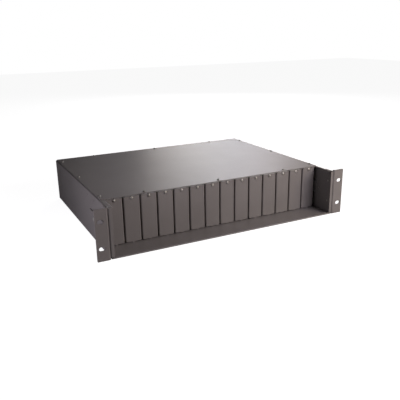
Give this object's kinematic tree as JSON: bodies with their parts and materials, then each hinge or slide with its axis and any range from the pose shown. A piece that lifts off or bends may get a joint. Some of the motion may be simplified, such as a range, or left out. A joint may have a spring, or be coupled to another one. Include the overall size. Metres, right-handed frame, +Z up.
{
  "type": "media converter chassis",
  "caption": "Low steel rack chassis with an open front bay, a row of screwed blanking plates, slotted ears, rear fans and a slide-in power module.",
  "frame": {"origin": "middle of the base's underside, halfway between the ears' front faces and the rear panel's back", "axes": "X to the right along the front as seen from the front, Y from the front to the back, Z up"},
  "size_m": [0.4826, 0.3905, 0.0869],
  "materials": {
    "painted_steel": "satin dark taupe powder coat with a fine grain",
    "bare_steel": "zinc-coated sheet, dull",
    "plated_steel": "bright nickel plate",
    "handle_steel": "satin bent rod",
    "circuit_board": "green solder mask",
    "black_plastic": "fine matt black",
    "rotor_plastic": "semi-matt black",
    "lead_sleeve": "black sleeve",
    "rocker_plastic": "glossy black",
    "transformer_tape": "yellow tape",
    "capacitor_sleeve": "shrunk sleeve",
    "heatsink_aluminium": "raw extrusion",
    "lamp_lens": "clear tinted lens"
  },
  "bodies": {
    "chassis": {"base_tray": "painted_steel", "top_cover": "painted_steel", "rear_panel": "painted_steel", "left_ear": "painted_steel", "right_ear": "painted_steel", "front_rail": "bare_steel", "upper_guide": "bare_steel", "guide_brackets": "bare_steel", "guide_ribs": "black_plastic", "backplane_board": "circuit_board", "power_plugs": "black_plastic", "bay_sockets": "black_plastic", "bulkhead": "bare_steel", "board_spacers": "plated_steel", "nut_plates": "bare_steel", "left_fan_frame": "black_plastic", "right_fan_frame": "black_plastic", "fan_guards": "plated_steel", "fan_leads": "lead_sleeve", "bay_runners": "bare_steel", "bay_cover": "painted_steel", "cover_screws": "plated_steel", "ear_screws": "plated_steel", "guide_screws": "painted_steel", "board_screws": "plated_steel", "fan_screws": "plated_steel", "ground_screw": "plated_steel", "blank_screws": "plated_steel", "blank_01": "painted_steel", "blank_02": "painted_steel", "blank_03": "painted_steel", "blank_04": "painted_steel", "blank_05": "painted_steel", "blank_06": "painted_steel", "blank_07": "painted_steel", "blank_08": "painted_steel", "blank_09": "painted_steel", "blank_10": "painted_steel", "blank_11": "painted_steel", "blank_12": "painted_steel", "blank_13": "painted_steel", "blank_14": "painted_steel"},
    "left_rotor": {"left_fan_rotor": "rotor_plastic"},
    "right_rotor": {"right_fan_rotor": "rotor_plastic"},
    "power_module": {"module_case": "bare_steel", "module_lid": "bare_steel", "module_face": "painted_steel", "module_handle": "handle_steel", "module_inlet": "black_plastic", "module_pins": "plated_steel", "module_switch": "black_plastic", "module_board": "circuit_board", "module_transformer": "transformer_tape", "module_capacitors": "capacitor_sleeve", "module_heatsinks": "heatsink_aluminium", "module_plug": "black_plastic", "module_lamp": "lamp_lens"},
    "rocker": {"module_rocker": "rocker_plastic"},
    "left_knob": {"left_thumbscrew": "plated_steel"},
    "right_knob": {"right_thumbscrew": "plated_steel"}
  },
  "joints": [
    {"name": "left_fan_spin", "type": "hinge", "parent": "chassis", "child": "left_rotor", "pos_m": [-0.036, 0.17, 0.0426], "axis": [0, 1, 0], "continuous": true},
    {"name": "right_fan_spin", "type": "hinge", "parent": "chassis", "child": "right_rotor", "pos_m": [0.036, 0.17, 0.0426], "axis": [0, 1, 0], "continuous": true},
    {"name": "power_module_slide", "type": "slide", "parent": "chassis", "child": "power_module", "axis": [0, 1, 0], "range_m": [0, 0.16]},
    {"name": "rocker_tilt", "type": "hinge", "parent": "power_module", "child": "rocker", "pos_m": [0.142, 0.1819, 0.027], "axis": [1, 0, 0], "range_deg": [-20, 0]},
    {"name": "left_thumbscrew_turn", "type": "hinge", "parent": "power_module", "child": "left_knob", "pos_m": [0.083, 0.1825, 0.041], "axis": [0, 1, 0], "continuous": true},
    {"name": "right_thumbscrew_turn", "type": "hinge", "parent": "power_module", "child": "right_knob", "pos_m": [0.209, 0.1825, 0.041], "axis": [0, 1, 0], "continuous": true}
  ]
}
